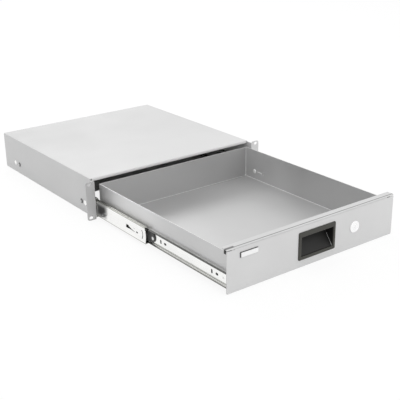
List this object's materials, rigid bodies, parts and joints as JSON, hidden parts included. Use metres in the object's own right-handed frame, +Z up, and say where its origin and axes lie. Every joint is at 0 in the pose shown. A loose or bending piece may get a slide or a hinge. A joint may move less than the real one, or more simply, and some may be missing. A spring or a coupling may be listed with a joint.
{
  "type": "sliding rack drawer",
  "caption": "Pull-out metal rack drawer in a shallow housing with rack ears, telescopic ball-bearing slides, recessed black pull and round cam lock.",
  "frame": {"origin": "middle of the rack hole pattern, on the front face of the rack ears", "axes": "+X to the right for someone facing the front panel, +Y back into the rack, +Z up"},
  "size_m": [0.4826, 0.9116, 0.0882],
  "materials": {
    "housing_sheet": "satin light grey paint",
    "panel_sheet": "satin light grey paint",
    "tray_sheet": "satin light grey paint",
    "zinc_slide": "bright zinc plate",
    "zinc_screw": "bright zinc plate",
    "bright_rivet": "plain bright metal",
    "cage_strip": "thin cold-rolled strip, lightly greased",
    "bearing_ball": "polished bearing steel",
    "lock_chrome": "bright chrome plate",
    "pull_plastic": "fine-grained black moulding",
    "black_plastic": "smooth black moulding",
    "plate_metal": "plain bright plate",
    "black_rubber": "dull black rubber"
  },
  "bodies": {
    "housing": {"housing_shell": "housing_sheet", "rear_panel": "housing_sheet", "bottom_plate": "housing_sheet", "rear_rivets": "bright_rivet", "housing_screws": "zinc_screw", "rear_bumpers": "black_plastic", "outer_member_left": "zinc_slide", "outer_member_right": "zinc_slide"},
    "drawer": {"tray": "tray_sheet", "front_panel": "panel_sheet", "blank_plate": "plate_metal", "panel_nuts": "zinc_screw", "tray_screws": "zinc_screw", "rubber_buffers": "black_rubber", "recessed_pull": "pull_plastic", "lock_barrel": "lock_chrome", "lock_nut": "zinc_screw", "inner_member_left": "zinc_slide", "inner_member_right": "zinc_slide", "lever_pins": "bright_rivet"},
    "lock": {"lock_plug": "lock_chrome", "lock_cam": "zinc_slide", "cam_screw": "zinc_screw"},
    "intermediate_left": {"intermediate_member_left": "zinc_slide"},
    "outer_cage_left": {"outer_ball_cage_left": "cage_strip", "outer_balls_left": "bearing_ball"},
    "inner_cage_left": {"inner_ball_cage_left": "cage_strip", "inner_balls_left": "bearing_ball"},
    "lever_left": {"release_lever_left": "black_plastic"},
    "intermediate_right": {"intermediate_member_right": "zinc_slide"},
    "outer_cage_right": {"outer_ball_cage_right": "cage_strip", "outer_balls_right": "bearing_ball"},
    "inner_cage_right": {"inner_ball_cage_right": "cage_strip", "inner_balls_right": "bearing_ball"},
    "lever_right": {"release_lever_right": "black_plastic"}
  },
  "joints": [
    {"name": "drawer_slide", "type": "slide", "parent": "housing", "child": "drawer", "axis": [0, -1, 0], "range_m": [-0.447, 0]},
    {"name": "intermediate_left_slide", "type": "slide", "parent": "housing", "child": "intermediate_left", "axis": [0, -1, 0], "range_m": [-0.2235, 0]},
    {"name": "outer_cage_left_slide", "type": "slide", "parent": "housing", "child": "outer_cage_left", "axis": [0, -1, 0], "range_m": [-0.11175, 0]},
    {"name": "inner_cage_left_slide", "type": "slide", "parent": "housing", "child": "inner_cage_left", "axis": [0, -1, 0], "range_m": [-0.33525, 0]},
    {"name": "intermediate_right_slide", "type": "slide", "parent": "housing", "child": "intermediate_right", "axis": [0, -1, 0], "range_m": [-0.2235, 0]},
    {"name": "outer_cage_right_slide", "type": "slide", "parent": "housing", "child": "outer_cage_right", "axis": [0, -1, 0], "range_m": [-0.11175, 0]},
    {"name": "inner_cage_right_slide", "type": "slide", "parent": "housing", "child": "inner_cage_right", "axis": [0, -1, 0], "range_m": [-0.33525, 0]},
    {"name": "lock_turn", "type": "hinge", "parent": "drawer", "child": "lock", "pos_m": [0.104, -0.44, 0.0025], "axis": [0, 1, 0], "range_deg": [0, 90]},
    {"name": "lever_left_hinge", "type": "hinge", "parent": "drawer", "child": "lever_left", "pos_m": [-0.2089, -0.207, -0.0203], "axis": [1, 0, 0], "range_deg": [0, 5], "stiffness_Nm_per_rad": 0.05},
    {"name": "lever_right_hinge", "type": "hinge", "parent": "drawer", "child": "lever_right", "pos_m": [0.2089, -0.207, -0.0203], "axis": [1, 0, 0], "range_deg": [0, 5], "stiffness_Nm_per_rad": 0.05}
  ],
  "couplings": [
    {"joint": "intermediate_left_slide", "follows": "drawer_slide", "ratio": 0.5},
    {"joint": "outer_cage_left_slide", "follows": "drawer_slide", "ratio": 0.25},
    {"joint": "inner_cage_left_slide", "follows": "drawer_slide", "ratio": 0.75},
    {"joint": "intermediate_right_slide", "follows": "drawer_slide", "ratio": 0.5},
    {"joint": "outer_cage_right_slide", "follows": "drawer_slide", "ratio": 0.25},
    {"joint": "inner_cage_right_slide", "follows": "drawer_slide", "ratio": 0.75}
  ]
}
